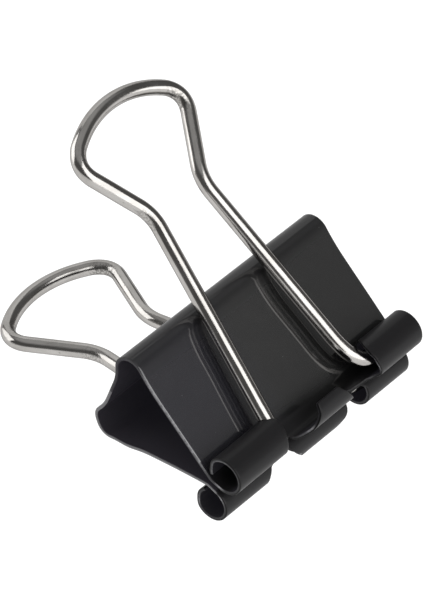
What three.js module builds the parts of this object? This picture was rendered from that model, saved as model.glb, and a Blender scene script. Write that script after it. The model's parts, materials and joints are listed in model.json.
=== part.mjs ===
// Binder clip: a folded spring-steel sheet with two wire handles.
//
// The sheet is one strip bent around a slightly hollow spine. Its two walls close on each other at the lips,
// and each lip is rolled outwards into a hinge barrel, cut by two windows into a tube, a centre tab and a
// tube. Each handle is one bent wire with its feet in the barrel's tubes. It folds back over the spine, or
// forward past the lips.
//
// The sheet flexes at its two bends when the handles are pinched. Each bend is slit along its middle, so that
// the spine and the two jaws are solids of their own, and each jaw turns about its slit.
//
// Lengths are in millimetres and angles in degrees. The section is drawn with u from the lips towards the
// spine and v from the mid plane outwards, and u = v = 0 is the middle of the spine. In the finished clip +X
// runs along the jaws, +Y from the lips towards the spine and +Z up. The clip lies on its rear handle and
// rear barrel, and the origin is the bottom centre of its box.

import * as THREE from 'three';

// Sheet. Radii are those of the middle of its thickness.
const WIDTH = 32;
const SHEET = 0.4;
const SPINE_LAND = 3;
const SPINE_HOLLOW_RADIUS = 5.9;
const SPINE_HOLLOW_TURN = 23.6;
const CORNER_RADIUS = 1.85;
const WALL_BOW_RADIUS = 22;
const WALL_TOP_ANGLE = 33;
const WALL_ANGLE = 23;
const LIP_BEND_RADIUS = 1.2;
const LIP_FLAT = 0.94;
const LIP_GAP = 0.56;

// Slit along the flexing middle of each bend
const SLIT = 0.3;

// Barrel rolled along each lip. Its windows are cut from the free edge down to the window floor.
const BARREL_RADIUS = 1.96;
const BARREL_WRAP = 300;
const TAB_WRAP = 165;
const WINDOW_FLOOR_WRAP = 45;
const WINDOW_OUTER_EDGE = 8.3;
const WINDOW_CORNER = 0.8;
const TAB_HALF_WIDTH = 3;

// Wire handles, measured from the barrel's axis. Bends are given by how far they reach along each side.
const WIRE_RADIUS = 0.9;
const HANDLE_ANGLE = 22.1;
const HANDLE_LENGTH = 39.7;
const FOOT_TIP = 12.8;
const FOOT_SPACING = 7.25;
const FOOT_BEND = 1.8;
const NECK_SPACING = 4.16;
const NECK_AT = 26.5;
const NECK_BEND = 1.85;
const SHOULDER_SPACING = 9.1;
const SHOULDER_AT = 35.9;
const SHOULDER_BEND = 2.45;

// Fineness of the curved stretches
const BEND_STEP = 13;
const BARREL_STEP = 7.5;
const WIRE_STEPS = 110;
const WIRE_SIDES = 12;

const enamel = { color: 0x161618, roughness: 0.38, metalness: 0.1 };
const nickel = { color: 0xc9c9c6, roughness: 0.16, metalness: 1 };

const radians = THREE.MathUtils.degToRad;

// ---------------------------------------------------------------------------------------------------------
// Section of the sheet

// Walks along the middle of the sheet's thickness and gives the stations of one stretch, with the way out of
// the clip at each. A positive turn is to the left, and the outside is on the right.
function walk(start, length, turn, step) {
  const count = Math.max(1, Math.round(Math.abs(turn) / step));
  const stations = [];
  for (let i = 0; i <= count; i += 1) {
    const run = length * i / count;
    const turned = radians(turn * i / count);
    const chord = turned === 0 ? run : run * Math.sin(turned / 2) / (turned / 2);
    const along = start.heading + turned / 2;
    const heading = start.heading + turned;
    stations.push({
      u: start.u + chord * Math.cos(along),
      v: start.v + chord * Math.sin(along),
      heading,
      outU: Math.sin(heading),
      outV: -Math.cos(heading),
    });
  }
  return stations;
}

const straight = (start, length) => walk(start, length, 0, BEND_STEP);

const bend = (start, radius, turn, step = BEND_STEP) => (
  walk(start, radius * radians(Math.abs(turn)), turn, step)
);

const lastOf = (stations) => stations[stations.length - 1];

// Joins stretches that share their end stations
function join(...stretches) {
  return stretches.reduce((all, stretch) => all.concat(stretch.slice(1)), [stretches[0][0]]);
}

// One half of the section, from the middle of the spine to the barrel's free edge
function drawSection() {
  const slitTurn = THREE.MathUtils.radToDeg(SLIT / CORNER_RADIUS);
  const cornerTurn = 90 + SPINE_HOLLOW_TURN + WALL_TOP_ANGLE;
  const lipBendDrop = LIP_BEND_RADIUS * (1 - Math.cos(radians(WALL_ANGLE)));
  const lipHeight = (LIP_GAP + SHEET) / 2;

  const land = straight({ u: 0, v: 0, heading: radians(90) }, SPINE_LAND / 2);
  const hollow = bend(lastOf(land), SPINE_HOLLOW_RADIUS, -SPINE_HOLLOW_TURN);
  const spineCorner = bend(lastOf(hollow), CORNER_RADIUS, (cornerTurn - slitTurn) / 2);
  const slit = bend(lastOf(spineCorner), CORNER_RADIUS, slitTurn, slitTurn / 2);
  const jawCorner = bend(lastOf(slit), CORNER_RADIUS, (cornerTurn - slitTurn) / 2);
  const bow = bend(lastOf(jawCorner), WALL_BOW_RADIUS, WALL_ANGLE - WALL_TOP_ANGLE, BEND_STEP / 4);
  const wallLength = (lastOf(bow).v - lipBendDrop - lipHeight) / Math.sin(radians(WALL_ANGLE));
  const wall = straight(lastOf(bow), wallLength);
  const lipBend = bend(lastOf(wall), LIP_BEND_RADIUS, -WALL_ANGLE);
  const lipFlat = straight(lastOf(lipBend), LIP_FLAT);
  const barrel = bend(lastOf(lipFlat), BARREL_RADIUS, -BARREL_WRAP, BARREL_STEP);

  const lip = lastOf(lipFlat);
  return {
    halfSpine: join(land, hollow, spineCorner),
    hinge: slit[1],
    wall: join(jawCorner, bow, wall, lipBend, lipFlat),
    barrel,
    axis: { u: lip.u + lip.outU * BARREL_RADIUS, v: lip.v + lip.outV * BARREL_RADIUS },
  };
}

// ---------------------------------------------------------------------------------------------------------
// Solids of the sheet

// Closes a sheet of cells into a solid. Each row of cells lies between two stations, columnsAt gives the x of
// the lines between its columns, and isFilled leaves out the cells that are cut away.
function sheetSolid(stations, columnsAt, isFilled) {
  const lines = stations.map((station, row) => columnsAt(row));
  const columns = lines[0].length - 1;
  const rows = stations.length - 1;
  const corners = [];
  const filled = (row, column) => (
    row >= 0 && row < rows && column >= 0 && column < columns && isFilled(row, column)
  );
  const point = (row, column, side) => {
    const { u, v, outU, outV } = stations[row];
    return [lines[row][column], u + side * outU * SHEET / 2, v + side * outV * SHEET / 2];
  };
  const quad = (a, b, c, d) => corners.push(...a, ...b, ...c, ...a, ...c, ...d);

  for (let r = 0; r < rows; r += 1) {
    for (let c = 0; c < columns; c += 1) {
      if (!filled(r, c)) {
        continue;
      }
      quad(point(r, c, 1), point(r + 1, c, 1), point(r + 1, c + 1, 1), point(r, c + 1, 1));
      quad(point(r, c, -1), point(r, c + 1, -1), point(r + 1, c + 1, -1), point(r + 1, c, -1));
      if (!filled(r - 1, c)) {
        quad(point(r, c, 1), point(r, c + 1, 1), point(r, c + 1, -1), point(r, c, -1));
      }
      if (!filled(r + 1, c)) {
        quad(point(r + 1, c, 1), point(r + 1, c, -1), point(r + 1, c + 1, -1), point(r + 1, c + 1, 1));
      }
      if (!filled(r, c - 1)) {
        quad(point(r, c, 1), point(r, c, -1), point(r + 1, c, -1), point(r + 1, c, 1));
      }
      if (!filled(r, c + 1)) {
        quad(point(r, c + 1, 1), point(r + 1, c + 1, 1), point(r + 1, c + 1, -1), point(r, c + 1, -1));
      }
    }
  }
  const geometry = new THREE.BufferGeometry();
  geometry.setAttribute('position', new THREE.Float32BufferAttribute(corners, 3));
  geometry.computeVertexNormals();
  return geometry;
}

// The spine runs from the slit of one bend to the slit of the other
function spineGeometry(section) {
  const mirrored = section.halfSpine.slice(1).reverse();
  const rearHalf = mirrored.map((station) => ({ ...station, v: -station.v, outV: -station.outV }));
  const stations = [...rearHalf, ...section.halfSpine];
  return sheetSolid(stations, () => [-WIDTH / 2, WIDTH / 2], () => true);
}

// How far a rounded corner still stands out at a distance along the side that it runs into
function cornerReach(distance) {
  const inside = Math.max(0, WINDOW_CORNER - distance);
  return WINDOW_CORNER - Math.sqrt(WINDOW_CORNER ** 2 - inside ** 2);
}

// A jaw is a wall and its barrel. Beyond the window floor only the two tubes and the centre tab go on.
function jawGeometry(section) {
  const stations = join(section.wall, section.barrel);
  const barrelStart = section.wall.length - 1;
  const rowAtWrap = (wrap) => barrelStart + Math.round(wrap / BARREL_STEP);
  const floorRow = rowAtWrap(WINDOW_FLOOR_WRAP);
  const tabRow = rowAtWrap(TAB_WRAP);
  const lengthOf = (rows) => rows * radians(BARREL_STEP) * BARREL_RADIUS;

  const columnsAt = (row) => {
    const up = lengthOf(Math.max(0, row - floorRow));
    const left = lengthOf(Math.max(0, tabRow - row));
    const tubeEnd = WINDOW_OUTER_EDGE - cornerReach(up);
    const tabSide = TAB_HALF_WIDTH + cornerReach(up) - cornerReach(left);
    return [-WIDTH / 2, -tubeEnd, -tabSide, tabSide, tubeEnd, WIDTH / 2];
  };
  const isFilled = (row, column) => {
    const isTube = column === 0 || column === 4;
    const isTab = column === 2;
    return isTube || row < floorRow || (isTab && row < tabRow);
  };
  return sheetSolid(stations, columnsAt, isFilled);
}

// ---------------------------------------------------------------------------------------------------------
// Wire handle

// An arc in the wire's plane around a centre on the y axis, with its angles measured from +y towards +x
class TopArc extends THREE.Curve {
  constructor(centreY, radius, fromAngle, toAngle) {
    super();
    Object.assign(this, { centreY, radius, fromAngle, toAngle });
  }

  getPoint(t, target = new THREE.Vector3()) {
    const angle = THREE.MathUtils.lerp(this.fromAngle, this.toAngle, t);
    return target.set(this.radius * Math.sin(angle), this.centreY + this.radius * Math.cos(angle), 0);
  }
}

// The wire lies in its own x-y plane with its feet along the barrel's axis, y = 0. It runs from the left foot
// over the top to the right foot.
function handlePath() {
  const rise = HANDLE_LENGTH - SHOULDER_AT;
  const radius = (SHOULDER_SPACING ** 2 + rise ** 2) / (2 * rise);
  const arcEnd = Math.asin(SHOULDER_SPACING / radius) - SHOULDER_BEND / radius;
  const top = new TopArc(HANDLE_LENGTH - radius, radius, -arcEnd, arcEnd);

  const path = new THREE.CurvePath();
  const side = (sign) => {
    const tip = new THREE.Vector3(sign * FOOT_TIP, 0, 0);
    const heel = new THREE.Vector3(sign * FOOT_SPACING, 0, 0);
    const neck = new THREE.Vector3(sign * NECK_SPACING, NECK_AT, 0);
    const shoulder = new THREE.Vector3(sign * SHOULDER_SPACING, SHOULDER_AT, 0);
    const towards = (from, to, reach) => from.clone().add(to.clone().sub(from).setLength(reach));
    const heelIn = towards(heel, tip, FOOT_BEND);
    const heelOut = towards(heel, neck, FOOT_BEND);
    const neckIn = towards(neck, heel, NECK_BEND);
    const neckOut = towards(neck, shoulder, NECK_BEND);
    const shoulderIn = towards(shoulder, neck, SHOULDER_BEND);
    return [[tip, heelIn], [heelIn, heel, heelOut], [heelOut, neckIn], [neckIn, neck, neckOut],
      [neckOut, shoulderIn], [shoulderIn, shoulder, top.getPoint(sign < 0 ? 0 : 1)]];
  };
  const curveOf = (points) => (
    points.length === 2 ? new THREE.LineCurve3(...points) : new THREE.QuadraticBezierCurve3(...points)
  );
  side(-1).forEach((points) => path.add(curveOf(points)));
  path.add(top);
  side(1).reverse().forEach((points) => path.add(curveOf(points.reverse())));
  return path;
}

function handleGeometry() {
  const round = new THREE.Shape().absarc(0, 0, WIRE_RADIUS, 0, Math.PI * 2);
  return new THREE.ExtrudeGeometry(round, {
    steps: WIRE_STEPS,
    curveSegments: WIRE_SIDES / 2,
    extrudePath: handlePath(),
    bevelEnabled: false,
  });
}

// ---------------------------------------------------------------------------------------------------------
// Assembly

function addMesh(parent, name, geometry, finish) {
  const mesh = new THREE.Mesh(geometry, new THREE.MeshStandardMaterial(finish));
  mesh.name = name;
  parent.add(mesh);
  return mesh;
}

// The tilt that lays the rear barrel and the end of the rear handle on one level surface
function lyingTilt() {
  const barrelOuter = BARREL_RADIUS + SHEET / 2;
  return radians(HANDLE_ANGLE) - Math.asin((barrelOuter - WIRE_RADIUS) / HANDLE_LENGTH);
}

function buildClip() {
  const section = drawSection();
  const clip = new THREE.Group();
  addMesh(clip, 'spine', spineGeometry(section), enamel);

  for (const side of ['front', 'rear']) {
    const half = new THREE.Group();
    half.rotation.y = side === 'front' ? 0 : Math.PI;
    clip.add(half);
    addMesh(half, `${side}_jaw`, jawGeometry(section), enamel);
    const handle = addMesh(half, `${side}_handle`, handleGeometry(), nickel);
    handle.position.set(0, section.axis.u, section.axis.v);
    handle.rotation.x = radians(HANDLE_ANGLE);
  }

  const object = new THREE.Group();
  clip.rotation.x = lyingTilt();
  object.add(clip);
  object.updateMatrixWorld(true);
  const box = new THREE.Box3().setFromObject(object, true);
  const centre = box.getCenter(new THREE.Vector3());
  clip.position.set(-centre.x, -centre.y, -box.min.z);
  return object;
}

export default buildClip();
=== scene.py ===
"""Binder clip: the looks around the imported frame.

The sheet is drawn as two continuous halves, each from the middle of the spine over a bend and down a wall
into its rolled barrel. Each handle is one bent wire. Lengths of the clip are in millimetres, and turns in
degrees. A run is a length along the middle of the sheet, from the middle of the spine.
"""
import json
import math

import bpy
import numpy as np
from mathutils import Matrix, Vector, noise


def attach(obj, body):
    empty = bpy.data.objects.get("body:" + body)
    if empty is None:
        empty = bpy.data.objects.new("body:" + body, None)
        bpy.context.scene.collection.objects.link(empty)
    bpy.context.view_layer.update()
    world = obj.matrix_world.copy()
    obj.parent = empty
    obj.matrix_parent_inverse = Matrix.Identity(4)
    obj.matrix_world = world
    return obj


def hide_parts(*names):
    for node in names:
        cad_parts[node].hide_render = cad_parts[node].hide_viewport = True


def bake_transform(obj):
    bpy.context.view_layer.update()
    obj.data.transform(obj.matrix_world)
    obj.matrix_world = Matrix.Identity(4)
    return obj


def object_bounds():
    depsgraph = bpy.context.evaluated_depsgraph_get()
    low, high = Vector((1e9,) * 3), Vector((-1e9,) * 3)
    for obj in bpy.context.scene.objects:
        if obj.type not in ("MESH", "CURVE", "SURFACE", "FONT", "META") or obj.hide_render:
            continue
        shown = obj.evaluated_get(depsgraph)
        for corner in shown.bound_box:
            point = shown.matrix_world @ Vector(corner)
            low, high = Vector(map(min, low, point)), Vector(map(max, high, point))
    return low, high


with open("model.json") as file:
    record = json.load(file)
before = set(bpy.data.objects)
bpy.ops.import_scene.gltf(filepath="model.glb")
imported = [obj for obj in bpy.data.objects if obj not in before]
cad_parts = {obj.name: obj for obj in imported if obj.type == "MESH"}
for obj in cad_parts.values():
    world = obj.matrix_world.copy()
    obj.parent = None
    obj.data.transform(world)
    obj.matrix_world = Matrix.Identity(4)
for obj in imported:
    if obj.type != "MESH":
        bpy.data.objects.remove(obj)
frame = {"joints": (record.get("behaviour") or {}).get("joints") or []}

cad_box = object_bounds()
MM = 0.001

# Sheet, as in the CAD part
WIDTH = 32.0
SHEET = 0.4
SPINE_LAND = 3.0
HOLLOW_RADIUS = 5.9
HOLLOW_TURN = 23.6
CORNER_RADIUS = 1.85
BOW_RADIUS = 22.0
WALL_TOP_ANGLE = 33.0
WALL_ANGLE = 23.0
LIP_RADIUS = 1.2
LIP_FLAT = 0.94
LIP_GAP = 0.56
BARREL_RADIUS = 1.96

# Sheet, as the photo shows it
BARREL_WRAP = 309.0
BARREL_STEP = 4.5
EDGE_ROUND = 0.06
WALL_SLOPE = 0.53
WAVE_HEIGHT = 0.035
WAVE_SCALE = 0.16

# The sheet's grid: its rows on each stretch before the barrel, its columns on each tube and on the centre
# tab, and the numbers of the lines along the left edges of the tab and the right tube
ROW_COUNTS = [3, 9, 44, 8, 16, 8, 4]
TUBE_COLUMNS, TAB_COLUMNS = 26, 22
TAB_EDGE = TUBE_COLUMNS + 1
RIGHT_TUBE_EDGE = TUBE_COLUMNS + TAB_COLUMNS + 2

# Wire handle, as in the CAD part
WIRE_RADIUS = 0.9
HANDLE_ANGLE = 22.1
HANDLE_LENGTH = 39.7
FOOT_TIP = 12.8
FOOT_SPACING = 7.25
FOOT_BEND = 1.8
NECK_SPACING = 4.16
NECK_AT = 26.5
NECK_BEND = 1.85
SHOULDER_SPACING = 9.1
SHOULDER_AT = 35.9
SHOULDER_BEND = 2.45

# Wire handle, as the photo shows it: the right foot's softer bend, and the chamfered tips as (inset, scale)
WIDE_BEND = (2.6, 4.6)
WIDE_RISE = 0.32
TIP_PROFILE = [(0.0, 0.35), (0.0, 0.86), (0.12, 1.0)]
WIRE_SIDES = 32
ARC_POINTS = 119
FLATTENING = 0.08
SQUEEZE_PER_CURVE, MOST_SQUEEZE = 1.3, 0.55

# The front and the rear look up their noise this far to either side, so that they differ
WAVE_SHIFT, SHEET_SHIFT, WIRE_SHIFT = 3.7, 40.0, 70.0


# ---------------------------------------------------------------------------------------------------------
# Where the section lies in the row frame, from the record's joints

def joint_point(name):
    joint = next(j for j in frame["joints"] if j["name"] == name)
    return Vector(joint["pos_m"])


def section_parts(barrel_radius=BARREL_RADIUS):
    """The stretches of the half section as (length, turn in degrees), a left turn positive."""
    def arc(radius, turn):
        return radius * math.radians(abs(turn)), turn

    corner_turn = 90 + HOLLOW_TURN + WALL_TOP_ANGLE
    parts = [
        (SPINE_LAND / 2, 0.0),
        arc(HOLLOW_RADIUS, -HOLLOW_TURN),
        arc(CORNER_RADIUS, corner_turn),
        arc(BOW_RADIUS, WALL_ANGLE - WALL_TOP_ANGLE),
    ]
    v = trace(parts, np.array([sum(p[0] for p in parts)]))[1][0]
    drop = LIP_RADIUS * (1 - math.cos(math.radians(WALL_ANGLE)))
    lip_height = (LIP_GAP + SHEET) / 2
    parts.append(((v - drop - lip_height) / math.sin(math.radians(WALL_ANGLE)), 0.0))
    parts.append(arc(LIP_RADIUS, -WALL_ANGLE))
    parts.append((LIP_FLAT, 0.0))
    parts.append(arc(barrel_radius, -BARREL_WRAP))
    return parts


def trace(parts, s):
    """u, v and heading of the middle of the sheet at each run s along the half section."""
    u0, v0, heading0, start = 0.0, 0.0, math.pi / 2, 0.0
    u, v, heading = np.zeros_like(s), np.zeros_like(s), np.zeros_like(s)
    for length, turn in parts:
        here = s >= start - 1e-9
        run = np.clip(s - start, 0, length)
        turned = math.radians(turn) * run / length
        half = turned / 2
        chord = run * np.sinc(half / math.pi)
        u = np.where(here, u0 + chord * np.cos(heading0 + half), u)
        v = np.where(here, v0 + chord * np.sin(heading0 + half), v)
        heading = np.where(here, heading0 + turned, heading)
        half = math.radians(turn) / 2
        chord = length * np.sinc(half / math.pi)
        u0 += chord * math.cos(heading0 + half)
        v0 += chord * math.sin(heading0 + half)
        heading0 += math.radians(turn)
        start += length
    return u, v, heading


# The runs at which the stretches end
PARTS = section_parts()
ENDS = np.cumsum([length for length, _ in PARTS])
BEND_START, BEND_END, BOW_END, WALL_END, LIP_END, BARREL_START = ENDS[1:-1]
HINGE_RUN = (BEND_START + BEND_END) / 2

front_hinge, rear_hinge = joint_point("front_jaw_flex"), joint_point("rear_jaw_flex")
V_AXIS = (front_hinge - rear_hinge).normalized()
X_AXIS = Vector((1, 0, 0))
U_AXIS = V_AXIS.cross(X_AXIS)
hinge_u, hinge_v = (float(value[0]) for value in trace(PARTS, np.array([HINGE_RUN]))[:2])
ORIGIN = (front_hinge + rear_hinge) / 2 - U_AXIS * hinge_u * MM


def placed(x, u, v, side):
    """Points of the row frame, in metres. side is 1 for the front half and -1 for the rear."""
    axes = np.array([X_AXIS, U_AXIS, V_AXIS * side])
    return np.array(ORIGIN) + np.stack([x, u, v], -1) @ axes * MM


# ---------------------------------------------------------------------------------------------------------
# Sheet

def smooth(low, high, value):
    """0 up to low, 1 from high on, and a soft rise between them."""
    t = np.clip((value - low) / (high - low), 0, 1)
    return t * t * (3 - 2 * t)


def hump(at, width, value):
    """1 at one place, falling off to either side."""
    return np.exp(-((value - at) / width) ** 2)


def spread(low, high, count, margin=0.25):
    """count + 1 lines from low to high, with narrow first and last columns."""
    inner = np.linspace(0, 1, count - 1)[:, None] * (high - low - 2 * margin) + low + margin
    return np.concatenate([low[None], inner, high[None]]).T


def sheet_rows(parts, barrel_radius):
    """Runs of the grid's rows. The barrel's rows lie BARREL_STEP apart."""
    rows, start = [0.0], 0.0
    for (length, _), count in zip(parts, ROW_COUNTS):
        rows += list(start + length * np.arange(1, count + 1) / count)
        start += length
    barrel = np.arange(1, round(BARREL_WRAP / BARREL_STEP) + 1) * math.radians(BARREL_STEP) * barrel_radius
    rows += list(BARREL_START + barrel * (parts[-1][0] / barrel[-1]))
    return np.array(rows)


def sheet_grid(rows, cuts):
    """Points (x, run) of the flat sheet's grid, and which of its cells hold sheet.

    Past the window floor only the two tubes and the tab between them go on.
    """
    past = rows - BARREL_START
    floor_row = int(np.argmin(abs(past - cuts["floor"])))
    tab_row = int(np.argmin(abs(past - cuts["tab_end"])))

    def line(key):
        points = np.array(cuts[key])
        return np.interp(np.maximum(past, past[floor_row]), points[:, 0], points[:, 1])

    left = np.full_like(rows, -WIDTH / 2)
    right = WIDTH / 2 + cuts["right_end"] * smooth(0.5, 3.5, past)
    xs = np.concatenate([
        spread(left, line("left_tube"), TUBE_COLUMNS),
        spread(line("tab_left"), line("tab_right"), TAB_COLUMNS),
        spread(line("right_tube"), right, TUBE_COLUMNS),
    ], axis=1)
    filled = np.ones((len(rows) - 1, xs.shape[1] - 1), bool)
    filled[floor_row:, TAB_EDGE - 1] = False
    filled[floor_row:, RIGHT_TUBE_EDGE - 1] = False
    filled[tab_row:, TAB_EDGE:RIGHT_TUBE_EDGE - 1] = False
    return np.stack([xs, np.repeat(rows[:, None], xs.shape[1], 1)], -1), filled


def cut_edges(flat, filled):
    """Edges round the filled cells as (start, end, seam), each with its cell on its left, and the ways out.

    The two halves of the sheet meet at the seam along the first row, which has no way out.
    """
    n_rows, n_cols = filled.shape

    def is_filled(r, c):
        return 0 <= r < n_rows and 0 <= c < n_cols and filled[r, c]

    edges, ways_out = [], {}
    for r, c in np.argwhere(filled).tolist():
        corners = [(r, c), (r, c + 1), (r + 1, c + 1), (r + 1, c)]
        beyond = [(r - 1, c), (r, c + 1), (r + 1, c), (r, c - 1)]
        for k in range(4):
            if is_filled(*beyond[k]):
                continue
            a, b = corners[k], corners[(k + 1) % 4]
            seam = k == 0 and r == 0
            edges.append((a, b, seam))
            if seam:
                continue
            way = flat[b] - flat[a]
            out = np.array([way[1], -way[0]]) / np.linalg.norm(way)
            ways_out.setdefault(a, []).append(out)
            ways_out.setdefault(b, []).append(out)
    return edges, ways_out


def wear_and_glint(side, column, run):
    """Share of the coat lost from the outer corner of the cut edge at one grid point, with painted glints.

    A little coat is lost all along the cut edges. The stronger stretches are painted glints and edge
    highlights: on the sheet's left end, the tab's left edge and the right tube's left edge.
    """
    rolled = run - BARREL_START
    glint_and_wear = 0.1
    if column == 0 and side > 0:
        glint_and_wear += 0.8 * smooth(BEND_END, BEND_END + 1.6, run) * (1 - smooth(WALL_END - 2.5, WALL_END, run))
        glint_and_wear += 0.9 * hump(0.0, 0.5, rolled) + 0.25 * smooth(6, 8, rolled)
    elif column == 0:
        glint_and_wear += 0.9 * hump(1.0, 0.5, rolled) + 0.5 * hump(8.5, 0.9, rolled)
    elif column == TAB_EDGE:
        glint_and_wear += 0.9 * hump(2.7, 0.5, rolled)
    elif column == RIGHT_TUBE_EDGE and side > 0:
        glint_and_wear += 0.9 * hump(4.4, 0.9, rolled)
    return float(glint_and_wear)


def sheet_points(flat, filled, ways_out, side):
    """Points of the closed flat sheet as (x, run, height, rim, worn), and their numbers by grid point.

    Each grid point has one point on either face. At a cut edge both are drawn in, and a ring of points
    between them rounds the edge. rim is how near a point of that ring lies to the edge's outer corner, and
    the last value is how much of the coat is lost there, with painted glints on a few stretches.
    """
    half, corner = SHEET / 2, EDGE_ROUND * (1 - math.sqrt(0.5))
    ring = [
        (corner, half - corner), (0.0, half - EDGE_ROUND), (0.0, EDGE_ROUND - half), (corner, corner - half),
    ]
    used = np.zeros(flat.shape[:2], bool)
    for down, along in ((0, 0), (0, 1), (1, 0), (1, 1)):
        used[down:filled.shape[0] + down, along:filled.shape[1] + along] |= filled

    points, top, bottom, rings = [], {}, {}, {}

    def add(where, height, rim, worn_and_glint):
        points.append((*where, height, rim, worn_and_glint))
        return len(points) - 1

    for r, c in np.argwhere(used).tolist():
        spot, ways = flat[r, c], ways_out.get((r, c), [])
        worn_and_glint = wear_and_glint(side, c, spot[1])
        out = np.zeros(2)
        if ways:
            out = sum(ways) / max(1e-6, 1 + ways[0] @ ways[-1]) if len(ways) > 1 else ways[0]
        top[r, c] = add(spot - out * EDGE_ROUND, half, 0.0, worn_and_glint)
        bottom[r, c] = add(spot - out * EDGE_ROUND, -half, 0.0, worn_and_glint)
        if ways:
            rings[r, c] = [add(spot - out * inset, height, max(0.0, height / half), worn_and_glint)
                           for inset, height in ring]
    return np.array(points), top, bottom, rings


def sheet_faces(filled, edges, top, bottom, rings):
    """Faces of the closed sheet: two for each cell, a strip along each cut edge, and the seam's."""
    faces = []
    for r, c in np.argwhere(filled).tolist():
        a, b, d, e = (r, c), (r, c + 1), (r + 1, c + 1), (r + 1, c)
        faces.append([top[a], top[e], top[d], top[b]])
        faces.append([bottom[a], bottom[b], bottom[d], bottom[e]])
    for a, b, seam in edges:
        ring_a, ring_b = rings.get(a, []), rings.get(b, [])
        if seam:
            faces.append([top[a], top[b], *ring_b, bottom[b], bottom[a], *ring_a[::-1]])
            continue
        down_a, down_b = [top[a], *ring_a, bottom[a]], [top[b], *ring_b, bottom[b]]
        for k in range(len(down_a) - 1):
            faces.append([down_a[k], down_b[k], down_b[k + 1], down_a[k + 1]])
    return faces


def sheet_places(x, run, height, side, parts, cuts):
    """Where the flat sheet's points lie on the clip.

    The barrel's tubes open a little at their inner ends and close at their outer ends. The walls bow and
    wave. The two ends of the sheet differ: the wall runs further at one, and the barrel isn't quite level.
    """
    u, v, heading = trace(parts, run)
    wrap = np.degrees((run - BARREL_START) / cuts["radius"])
    reach = abs(x)
    flare = (1 - smooth(7.5, 11, reach)) * smooth(90, 235, wrap) * (1 - smooth(255, 305, wrap))
    pinch = smooth(9, 15, reach) * smooth(*cuts["pinched"], wrap)
    swell = cuts["flare"] * flare - cuts["pinch"] * pinch
    for at, width, depth in cuts["bow"]:
        swell = swell - depth * hump(at, width, run)

    towards_right = (x + WIDTH / 2) / WIDTH
    longer_left, longer_right = cuts["longer"]
    longer = longer_left + (longer_right - longer_left) * towards_right
    longer = longer * (1 - smooth(BEND_END, LIP_END, run))
    at_barrel = smooth(WALL_END - 1.0, BARREL_START, run)
    (left_u, left_v), (right_u, right_v) = cuts["barrel_shift"]
    u = u + longer + (left_u + (right_u - left_u) * towards_right) * at_barrel
    v = v + longer * WALL_SLOPE * smooth(0, BEND_START, run)
    v = v + (left_v + (right_v - left_v) * towards_right) * at_barrel

    wave = np.array([
        noise.noise(Vector((across * WAVE_SCALE, along * WAVE_SCALE, WAVE_SHIFT * side)))
        for across, along in zip(x, run)
    ])
    wave = WAVE_HEIGHT * wave * smooth(BEND_END, BOW_END, run) * (1 - smooth(WALL_END - 1.5, LIP_END, run))
    lift = height + wave - swell
    return placed(x, u + np.sin(heading) * lift, v - np.cos(heading) * lift, side)


def coat_shares(x, run, height, side):
    """Shares of the enamel's variants at each point.

    inner is the face between the jaws, where paler painted light goes, and deep is that face with the
    barrel's bore, which glows faintly. dull is 0 where the coat is clearest, on the outer face of the front
    wall, and 1 on the barrel and the face between the jaws.
    corner is the strip of wall next to the barrel, with the barrel's cut edges, where shade is painted in.
    """
    cut = abs(height) < SHEET / 2 - 1e-6
    on_barrel = run > BARREL_START
    inner = (height < 0) & (run < BARREL_START)
    deep = inner | ((height > 0) & (run > BARREL_START + 1.5))

    bend = 0.85 * hump(0.0, 2.8, np.maximum(0.0, run - HINGE_RUN))
    dull = np.maximum(smooth(WALL_END - 2.0, BARREL_START - 0.4, run), bend)
    dull = np.maximum(dull, 0.0 if side > 0 else 0.5)
    dull = np.where(inner, 1.0, dull)
    dull = np.where(cut, 1.0 if side > 0 else 0.4, dull)
    dull = np.where(cut & on_barrel, 1.0, dull)

    # Painted shade: the strip of wall next to the barrel and the barrel's cut edges are painted darker
    corner = 0.4 * smooth(BOW_END + 2, WALL_END - 3.5, run)
    corner = corner + 0.6 * smooth(WALL_END - 3.5, WALL_END + 0.3, run)
    corner = corner * (1 - smooth(BARREL_START, BARREL_START + 1.5, run)) * (0.2 + 0.75 * smooth(-4, 3, x))
    corner = np.where(cut & on_barrel, 1.0, corner)
    return {"inner": inner, "dull": dull, "deep": deep, "corner": corner}


def add_piece(name, places, faces, side, sharp_angle):
    """A smooth-shaded mesh. The rear half is mirrored, so its faces are turned round."""
    if side < 0:
        faces = [face[::-1] for face in faces]
    mesh = bpy.data.meshes.new(name)
    mesh.from_pydata([tuple(place) for place in places], [], faces)
    mesh.shade_smooth()
    mesh.set_sharp_from_angle(angle=math.radians(sharp_angle))
    piece = bpy.data.objects.new(name, mesh)
    bpy.context.scene.collection.objects.link(piece)
    return piece


def add_vectors(piece, name, values):
    layer = piece.data.attributes.new(name, "FLOAT_VECTOR", "POINT")
    layer.data.foreach_set("vector", np.array(values, np.float32).ravel())


def add_shares(piece, name, values):
    layer = piece.data.attributes.new(name, "FLOAT", "POINT")
    layer.data.foreach_set("value", np.array(values, np.float32))


def sheet_half(name, side, cuts):
    """One half of the sheet as a closed mesh with rounded cut edges."""
    parts = section_parts(cuts["radius"])
    flat, filled = sheet_grid(sheet_rows(parts, cuts["radius"]), cuts)
    edges, ways_out = cut_edges(flat, filled)
    points, *numbers = sheet_points(flat, filled, ways_out, side)
    x, run, height, rim, worn_and_glint = points.T
    places = sheet_places(x, run, height, side, parts, cuts)
    piece = add_piece(name, places, sheet_faces(filled, edges, *numbers), side, 60)
    add_vectors(piece, "place", np.stack([x, run, np.full_like(x, SHEET_SHIFT * side)], -1))
    add_shares(piece, "rim", rim)
    add_shares(piece, "worn_and_glint", worn_and_glint)
    for share, values in coat_shares(x, run, height, side).items():
        add_shares(piece, share, values)
    weighted = piece.modifiers.new("weighted", "WEIGHTED_NORMAL")
    weighted.keep_sharp = True
    return piece


# ---------------------------------------------------------------------------------------------------------
# Wire handle

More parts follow.
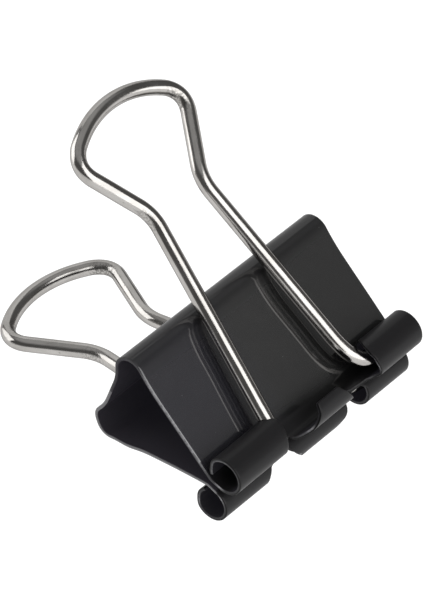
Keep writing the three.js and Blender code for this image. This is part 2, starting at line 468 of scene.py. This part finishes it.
def towards(a, b, reach):
    """The point that lies reach away from a on the way to b."""
    return a + (b - a) / np.linalg.norm(b - a) * reach


def straight(a, b, step):
    """Points from a to b, about a step apart."""
    count = max(2, round(np.linalg.norm(b - a) / step))
    return a + (b - a) * np.linspace(0, 1, count)[:, None]


def bent(a, b, c, count=26):
    """Points of the bend that leads from a to c round the corner b."""
    w = np.linspace(0, 1, count)[:, None]
    return a * (1 - w) ** 2 + 2 * b * w * (1 - w) + c * w ** 2


def handle_side(top, heel_rise, heel_bend, neck_up):
    """Points of the wire's middle from the left foot's tip to the first point of the top arc.

    heel_bend is how far the foot's bend reaches along the foot and along the leg. neck_up moves the neck
    along the leg.
    """
    tip, heel = np.array([-FOOT_TIP, 0.0]), np.array([-FOOT_SPACING, 0.0])
    neck, shoulder = np.array([-NECK_SPACING, NECK_AT]), np.array([-SHOULDER_SPACING, SHOULDER_AT])
    neck = neck + (neck - heel) * (neck_up / NECK_AT)
    heel = heel + [0.0, heel_rise]
    heel_in, heel_out = towards(heel, tip, heel_bend[0]), towards(heel, neck, heel_bend[1])
    neck_in, neck_out = towards(neck, heel, NECK_BEND), towards(neck, shoulder, NECK_BEND)
    shoulder_in = towards(shoulder, neck, SHOULDER_BEND)
    stretches = [
        straight(tip, heel_in, 0.3), bent(heel_in, heel, heel_out), straight(heel_out, neck_in, 0.4),
        bent(neck_in, neck, neck_out), straight(neck_out, shoulder_in, 0.3),
        bent(shoulder_in, shoulder, top[0]),
    ]
    return np.concatenate([stretches[0]] + [stretch[1:] for stretch in stretches[1:]])


def handle_path(necks_up):
    """Points, directions, runs and curvatures of the wire's middle in its own plane, from the left tip.

    necks_up is how far the left and right necks move up their legs. The right foot has the softer bend.
    """
    rise = HANDLE_LENGTH - SHOULDER_AT
    radius = (SHOULDER_SPACING ** 2 + rise ** 2) / (2 * rise)
    arc_end = math.asin(SHOULDER_SPACING / radius) - SHOULDER_BEND / radius
    angles = np.linspace(-arc_end, arc_end, ARC_POINTS)
    top = np.stack([radius * np.sin(angles), HANDLE_LENGTH - radius + radius * np.cos(angles)], -1)

    left = handle_side(top, 0.0, (FOOT_BEND, FOOT_BEND), necks_up[0])
    right = handle_side(top, WIDE_RISE, WIDE_BEND, necks_up[1])
    path = np.concatenate([left, top[1:-1], right[::-1] * [-1, 1]])
    way = np.gradient(path, axis=0)
    way /= np.linalg.norm(way, axis=1)[:, None]
    run = np.concatenate([[0], np.cumsum(np.linalg.norm(np.diff(path, axis=0), axis=1))])
    heading = np.unwrap(np.arctan2(way[:, 1], way[:, 0]))
    curve = np.gradient(heading, run)

    # The mean over a few neighbours makes each bend begin softly
    neighbours = 3
    kernel = np.ones(2 * neighbours + 1) / (2 * neighbours + 1)
    curve = np.convolve(np.pad(curve, neighbours, mode="edge"), kernel, "valid")
    return path, way, run, curve


def wire_handle(name, side, necks_up, angle_up):
    """One handle as a closed mesh. angle_up is how many degrees further it leans out than in CAD."""
    path, way, run, curve = handle_path(necks_up)

    # How hard each point was pressed in bending
    squeeze = np.clip(SQUEEZE_PER_CURVE * curve, -MOST_SQUEEZE, MOST_SQUEEZE)
    stations = [(path[0] + way[0] * inset, way[0], scale, 0.0, inset) for inset, scale in TIP_PROFILE]
    stations += [(path[i], way[i], 1.0, squeeze[i], run[i]) for i in range(1, len(path) - 1)]
    stations += [(path[-1] - way[-1] * inset, way[-1], scale, 0.0, run[-1])
                 for inset, scale in TIP_PROFILE[::-1]]

    co, spot, bend = [], [], []
    for where, along, scale, pressed, at in stations:
        across = np.array([-along[1], along[0]])
        for a in np.arange(WIRE_SIDES) * 2 * math.pi / WIRE_SIDES:
            # A bend flattens the wire slightly on its inner side
            inner = max(0.0, math.copysign(1.0, pressed) * math.cos(a))
            r = WIRE_RADIUS * scale * (1 - FLATTENING * abs(pressed) * inner ** 2)
            flat = where + across * r * math.cos(a)
            co.append((flat[0], flat[1], r * math.sin(a)))
            spot.append((math.cos(a), math.sin(a), at + WIRE_SHIFT * side))
            bend.append(abs(pressed) * (0.2 + 0.8 * inner))
    faces = []
    for start in range(0, (len(stations) - 1) * WIRE_SIDES, WIRE_SIDES):
        for k in range(WIRE_SIDES):
            here, there = start + k, start + (k + 1) % WIRE_SIDES
            faces.append([here, there, there + WIRE_SIDES, here + WIRE_SIDES])
    faces.append(list(range(WIRE_SIDES))[::-1])
    faces.append([len(co) - WIRE_SIDES + k for k in range(WIRE_SIDES)])

    axis_u, axis_v, _ = trace(PARTS, np.array([BARREL_START]))
    centre_u, centre_v = float(axis_u[0]), float(axis_v[0]) + BARREL_RADIUS
    tilt = math.radians(HANDLE_ANGLE + angle_up)
    co = np.array(co)
    u = centre_u + co[:, 1] * math.cos(tilt) - co[:, 2] * math.sin(tilt)
    v = centre_v + co[:, 1] * math.sin(tilt) + co[:, 2] * math.cos(tilt)
    piece = add_piece(name, placed(co[:, 0], u, v, side), faces, side, 50)
    add_vectors(piece, "place", spot)
    add_shares(piece, "bend", bend)
    return piece


# ---------------------------------------------------------------------------------------------------------
# Materials

class Nodes:
    """A small builder for node materials."""

    def __init__(self, name):
        self.material = bpy.data.materials.new(name)
        self.material.use_nodes = True
        self.tree = self.material.node_tree
        self.shader = self.tree.nodes["Principled BSDF"]

    def node(self, kind, values=(), **settings):
        made = self.tree.nodes.new(kind)
        for key, value in settings.items():
            setattr(made, key, value)
        for key, value in dict(values).items():
            self.feed(made.inputs[key], value)
        return made

    def feed(self, socket, value):
        if isinstance(value, bpy.types.NodeSocket):
            self.tree.links.new(value, socket)
        else:
            socket.default_value = value

    def attribute(self, name, output):
        return self.node("ShaderNodeAttribute", attribute_name=name).outputs[output]

    def scaled(self, vector, scale):
        made = self.node("ShaderNodeVectorMath", {0: vector, 1: scale}, operation="MULTIPLY")
        return made.outputs[0]

    def noise(self, vector, scale, detail=3.0, roughness=0.55):
        made = self.node("ShaderNodeTexNoise", {"Vector": vector, "Scale": scale, "Detail": detail,
                                                 "Roughness": roughness})
        return made.outputs["Fac"]

    def span(self, value, from_low, from_high, to_low=0.0, to_high=1.0):
        made = self.node("ShaderNodeMapRange", {"Value": value, "From Min": from_low, "From Max": from_high,
                                                 "To Min": to_low, "To Max": to_high})
        return made.outputs["Result"]

    def math(self, operation, a, b):
        return self.node("ShaderNodeMath", {0: a, 1: b}, operation=operation).outputs[0]

    def mix(self, share, a, b):
        made = self.node("ShaderNodeMix", {0: share, 6: a, 7: b}, data_type="RGBA")
        return made.outputs[2]

    def blend_value(self, share, a, b):
        made = self.node("ShaderNodeMix", {0: share, 2: a, 3: b}, data_type="FLOAT")
        return made.outputs[0]

    def bump(self, height, distance, strength=1.0, normal=None):
        values = {"Height": height, "Distance": distance, "Strength": strength}
        if normal is not None:
            values["Normal"] = normal
        return self.node("ShaderNodeBump", values).outputs[0]

    def set(self, **values):
        for key, value in values.items():
            self.feed(self.shader.inputs[key.replace("_", " ")], value)


def grey(value, tint=(1, 1, 1)):
    return (value * tint[0], value * tint[1], value * tint[2], 1.0)


def black_enamel():
    """Black enamel over steel. Its coat is clearest on the front wall."""
    m = Nodes("black_enamel")
    place = m.attribute("place", "Vector")
    rim = m.attribute("rim", "Fac")
    cloud = m.noise(place, 0.35, 4.0)
    peel = m.noise(place, 3.2, 2.0)
    grain = m.noise(place, 14.0, 2.0)
    base = m.mix(m.span(cloud, 0.25, 0.75), grey(0.009, (1.0, 1.0, 1.03)), grey(0.0115, (1.02, 1.02, 1.0)))

    # Painted light and shade: the coat is painted cooler towards the left end and darker towards the right
    across = m.node("ShaderNodeSeparateXYZ", {0: place}).outputs[0]
    base = m.mix(m.span(across, -2.0, -8.0), base, grey(0.0105, (1.0, 0.95, 1.4)))
    base = m.mix(m.span(across, 1.0, 10.0), base, grey(0.0055))

    # The bends and barrels are even in tone, painted shade darkens the strip beside the barrel and painted
    # light makes the inside paler
    dull = m.attribute("dull", "Fac")
    base = m.mix(dull, base, grey(0.011, (1.02, 0.99, 1.06)))
    base = m.mix(m.attribute("corner", "Fac"), base, grey(0.001))
    base = m.mix(m.attribute("inner", "Fac"), base, grey(0.02, (1.03, 0.94, 1.12)))

    # Dust and small chips: a few of the cells hold one speck each
    cells = m.node("ShaderNodeTexVoronoi", {"Vector": place, "Scale": 0.85})
    speck = m.span(cells.outputs["Distance"], 0.045, 0.02)
    chosen = m.span(m.node("ShaderNodeSeparateColor", {0: cells.outputs["Color"]}).outputs[0], 0.72, 0.74)
    dust = m.math("MULTIPLY", speck, chosen)
    base = m.mix(m.math("MULTIPLY", dust, 0.55), base, grey(0.16, (1.0, 0.98, 0.95)))

    # The coat is thin on the cut edges, so that the steel shows through, and a few stretches carry painted
    # glints
    ragged = m.span(m.noise(place, 2.4, 4.0), 0.34, 0.62, 0.45, 1.0)
    bare_and_glint = m.math("MULTIPLY", m.math("MULTIPLY", m.span(rim, 0.15, 0.5), m.attribute("worn_and_glint", "Fac")), ragged)
    base = m.mix(m.math("MULTIPLY", bare_and_glint, 0.85), base, grey(0.3, (1.0, 0.99, 1.04)))
    rough = m.span(cloud, 0.25, 0.75, 0.4, 0.46)
    rough = m.math("ADD", rough, m.span(grain, 0.3, 0.7, -0.02, 0.03))
    rough = m.blend_value(m.math("MAXIMUM", m.math("MULTIPLY", bare_and_glint, 0.6), dust), rough, 0.42)
    height = m.math("ADD", peel, m.math("MULTIPLY", grain, 0.25))
    m.set(Base_Color=base, Roughness=rough, Normal=m.bump(height, 4e-6))
    m.set(Metallic=m.math("MULTIPLY", bare_and_glint, 0.2))
    m.set(Specular_IOR_Level=m.span(dull, 0.0, 1.0, 0.3, 0.1), Coat_Weight=m.span(dull, 0.0, 1.0, 1.0, 0.05))
    m.set(Coat_Roughness=0.04, Coat_IOR=2.0)

    # The face between the jaws and the bores glow faintly, so that they are never quite black
    m.set(Emission_Color=grey(0.005, (1.0, 0.95, 1.25)), Emission_Strength=m.attribute("deep", "Fac"))
    return m.material


def nickel_wire():
    """Bright drawn wire, with dark marks where its bends were pressed and a few nicks."""
    m = Nodes("nickel_wire")
    place = m.attribute("place", "Vector")
    bend = m.attribute("bend", "Fac")
    drawn = m.noise(m.scaled(place, (9.0, 9.0, 0.12)), 1.0, 3.0)
    cloud = m.noise(m.scaled(place, (0.8, 0.8, 0.35)), 1.0, 3.0)
    pits = m.noise(m.scaled(place, (3.0, 3.0, 3.2)), 1.0, 4.0, 0.65)
    pressed = m.math("MULTIPLY", m.span(bend, 0.05, 0.35), m.span(pits, 0.46, 0.56))
    nicks = m.span(m.noise(m.scaled(place, (1.6, 1.6, 0.9)), 2.0, 4.0, 0.7), 0.66, 0.74)
    marks = m.math("MAXIMUM", pressed, nicks)
    base = m.mix(m.span(cloud, 0.35, 0.65), grey(0.38, (1.0, 0.965, 0.92)), grey(0.46, (1.0, 0.97, 0.935)))
    base = m.mix(m.math("MULTIPLY", marks, 0.8), base, grey(0.13, (1.0, 0.96, 0.9)))
    rough = m.span(cloud, 0.3, 0.7, 0.10, 0.16)
    rough = m.math("ADD", rough, m.math("MULTIPLY", marks, 0.16))
    lines = m.bump(drawn, 1.0e-5)
    m.set(Base_Color=base, Roughness=rough, Normal=m.bump(pits, 4e-5, m.math("MULTIPLY", marks, 0.9), lines))
    m.set(Metallic=1.0, Specular_Tint=grey(0.45))
    return m.material


def pale_floor():
    """A floor that reads as white, as the photo's background does."""
    m = Nodes("pale_floor")
    where = m.node("ShaderNodeTexCoord").outputs["Object"]
    cloud = m.noise(where, 9.0, 4.0)
    base = m.mix(m.span(cloud, 0.3, 0.7), grey(0.31), grey(0.34))
    m.set(Base_Color=base, Roughness=0.6, Emission_Color=grey(1.0), Emission_Strength=0.8)
    return m.material


# ---------------------------------------------------------------------------------------------------------
# Pieces

# The shape of each half. radius is the barrel's, and right_end is how much longer it is at its right end.
# The windows begin at floor, and the tab ends at tab_end. flare is how far the tubes open at their inner
# ends, and pinch how far they close at their outer ends, between the two turns of pinched. bow holds the
# sheet's bows as (run, half width, depth). longer is how much further the wall runs at its left and right
# ends, and barrel_shift how far the barrel lies off there, as (u, v). The rest are the sides of the windows,
# as points (run, x). floor, tab_end and those runs are counted from the barrel's start.
FRONT_CUTS = {
    "radius": 2.07, "floor": 0.72, "tab_end": 5.85, "flare": 0.06, "right_end": 0.3,
    "pinch": 0.22, "pinched": (245, 285), "bow": [],
    "longer": (0.1, 0.36), "barrel_shift": ((-0.1, 0.0), (0.24, -0.16)),
    "left_tube": [(0.72, -5.05), (1.2, -6.25), (1.8, -7.1), (2.6, -7.55), (3.6, -7.75), (4.95, -7.7),
                  (5.56, -7.5), (6.4, -7.3), (7.2, -7.15), (7.6, -7.3), (8.1, -7.95), (8.6, -8.2),
                  (10.6, -8.3), (11.2, -8.6)],
    "tab_left": [(0.72, -4.7), (1.18, -4.6), (1.7, -4.2), (2.1, -3.5), (2.6, -3.0), (3.42, -2.6),
                 (4.54, -2.0), (5.4, -1.87), (5.7, -1.8), (5.85, -1.55)],
    "tab_right": [(0.72, 5.0), (1.2, 4.95), (1.7, 4.75), (2.75, 4.3), (3.9, 3.4), (5.2, 2.3), (5.7, 1.9),
                  (5.85, 1.6)],
    "right_tube": [(0.72, 5.15), (1.2, 5.7), (1.35, 7.6), (1.4, 8.2), (1.7, 8.4), (1.9, 9.1), (2.74, 9.3),
                   (3.47, 9.0), (4.8, 8.5), (5.67, 8.4), (6.2, 8.25), (6.9, 8.35), (7.5, 8.6), (8.1, 9.0),
                   (9.0, 9.6), (10.6, 9.8), (11.2, 10.1)],
}
REAR_CUTS = {
    "radius": 2.03, "floor": 0.72, "tab_end": 5.85, "flare": 0.14, "right_end": 0.05,
    "pinch": 0.28, "pinched": (200, 250),
    "bow": [(HINGE_RUN - 0.3, 1.3, -0.26), (BEND_END + 2.4, 1.8, 0.36), (BEND_END + 10, 3.0, -0.08)],
    "longer": (0.1, 0.36), "barrel_shift": ((-0.06, 0.1), (-0.02, 0.0)),
    "left_tube": [(0.72, -5.6), (1.1, -7.0), (1.6, -8.1), (2.6, -8.5), (3.6, -8.6), (9.9, -8.6),
                  (10.6, -8.7), (11.0, -9.0)],
    "tab_left": [(0.72, -5.2), (1.1, -5.1), (1.7, -4.6), (2.4, -3.8), (2.9, -3.0), (3.6, -2.6),
                 (4.54, -2.1), (5.4, -1.9), (5.7, -1.8), (5.85, -1.55)],
    "tab_right": [(0.72, 5.1), (1.75, 5.05), (2.3, 4.95), (2.8, 4.7), (3.7, 3.3), (5.03, 2.3), (5.7, 1.9),
                  (5.85, 1.6)],
    "right_tube": [(0.72, 7.7), (0.9, 8.3), (1.3, 8.7), (2.6, 8.8), (9.9, 8.8),
                   (10.6, 8.9), (11.0, 9.2)],
}

# How far each handle's left and right necks move up its legs, and how much further it leans out
HANDLE_SHAPES = {"front": ((0.62, 0.6), 0.0), "rear": ((0.0, 0.0), 0.45)}

enamel, nickel = black_enamel(), nickel_wire()
for word, side, cuts in (("front", 1, FRONT_CUTS), ("rear", -1, REAR_CUTS)):
    sheet = sheet_half(f"sheet_{word}", side, cuts)
    sheet.data.materials.append(enamel)
    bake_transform(sheet)
    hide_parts("spine", f"{word}_jaw")
    handle = wire_handle(f"handle_{word}", side, *HANDLE_SHAPES[word])
    handle.data.materials.append(nickel)
    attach(handle, f"{word}_handle")
    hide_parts(f"{word}_handle")

# ---------------------------------------------------------------------------------------------------------
# Floor, light and camera, in metres, with the lens and the sensor in millimetres

FLOOR_HEIGHT = -0.045
AIM_SHIFT = Vector((0.0, -0.0051, -0.004))
AZIMUTH, ELEVATION, ROLL = -50.36, 39.48, 0.33
DISTANCE = 0.4203
LENS, SENSOR = 229.4, 36


def floor():
    """A wide pale floor, far enough below for both handles to swing over the lips."""
    size, cells = 3.0, 12
    lines = np.linspace(-size, size, cells + 1)
    points = [(x, y, FLOOR_HEIGHT) for y in lines for x in lines]
    n = cells + 1
    faces = [(r * n + c, r * n + c + 1, (r + 1) * n + c + 1, (r + 1) * n + c)
             for r in range(cells) for c in range(cells)]
    mesh = bpy.data.meshes.new("floor")
    mesh.from_pydata(points, [], faces)
    mesh.materials.append(pale_floor())
    made = bpy.data.objects.new("floor", mesh)
    bpy.context.scene.collection.objects.link(made)


def softbox(name, azimuth, distance, spread_deg, top, radiance, bottom=0.02):
    """An upright rectangular light round the clip.

    azimuth is as for the camera, and spread_deg is its width as seen from the clip. radiance is how bright
    it looks.
    """
    width = 2 * distance * math.tan(math.radians(spread_deg / 2))
    light = bpy.data.lights.new(name, "AREA")
    light.shape = "RECTANGLE"
    light.size, light.size_y = width, top - bottom
    light.energy = radiance * math.pi * width * (top - bottom)
    made = bpy.data.objects.new(name, light)
    angle = math.radians(azimuth)
    way = Vector((math.sin(angle), -math.cos(angle), 0.0))
    made.location = way * distance + Vector((0, 0, (top + bottom) / 2))
    made.rotation_euler = way.to_track_quat("Z", "Y").to_euler()
    bpy.context.scene.collection.objects.link(made)
    return made


def overhead(size, height, radiance):
    """A wide soft light from above for the floor. The polished wire doesn't mirror it."""
    light = bpy.data.lights.new("overhead", "AREA")
    light.size = size
    light.energy = radiance * math.pi * size * size
    made = bpy.data.objects.new("overhead", light)
    made.location = (0, 0, height)
    made.visible_glossy = False
    bpy.context.scene.collection.objects.link(made)


def surroundings():
    """A dark room, pale up to just above the horizon and again overhead."""
    world = bpy.data.worlds.new("room")
    world.use_nodes = True
    tree = world.node_tree
    where = tree.nodes.new("ShaderNodeTexCoord")
    split = tree.nodes.new("ShaderNodeSeparateXYZ")
    ramp = tree.nodes.new("ShaderNodeValToRGB")
    tree.links.new(where.outputs["Generated"], split.inputs[0])
    tree.links.new(split.outputs["Z"], ramp.inputs[0])
    tree.links.new(ramp.outputs[0], tree.nodes["Background"].inputs["Color"])
    stops = ramp.color_ramp.elements
    stops[0].position, stops[0].color = 0.0, grey(0.8)
    stops[1].position, stops[1].color = 0.14, grey(0.13, (1.02, 1.0, 0.98))
    for position, value in ((0.06, 0.35), (0.72, 0.14), (0.88, 0.5)):
        stops.new(position).color = grey(value)
    bpy.context.scene.world = world


low, high = cad_box
aim = (low + high) / 2 + AIM_SHIFT
floor()
surroundings()
softbox("key", -2.5, 0.7, 65, 1.0, 2.4)
softbox("back_left", -155, 0.8, 56, 0.8, 2.3)
softbox("back_right", 143, 0.8, 54, 1.05, 0.8)
overhead(1.4, 0.9, 0.55)
softbox("side_fill", -95, 0.6, 60, 0.6, 0.5).visible_glossy = False

turn, rise = math.radians(AZIMUTH), math.radians(ELEVATION)
back = Vector((math.sin(turn) * math.cos(rise), -math.cos(turn) * math.cos(rise), math.sin(rise)))
camera = bpy.data.objects.new("camera", bpy.data.cameras.new("camera"))
camera.data.lens = LENS
camera.data.sensor_width = SENSOR
camera.data.clip_start = 0.01
camera.location = aim + back * DISTANCE
facing = (-back).to_track_quat("-Z", "Y").to_matrix().to_4x4()
camera.rotation_euler = (facing @ Matrix.Rotation(math.radians(ROLL), 4, "Z")).to_euler()
bpy.context.scene.collection.objects.link(camera)
bpy.context.scene.camera = camera
bpy.context.scene.view_settings.view_transform = "Standard"

bpy.context.view_layer.update()
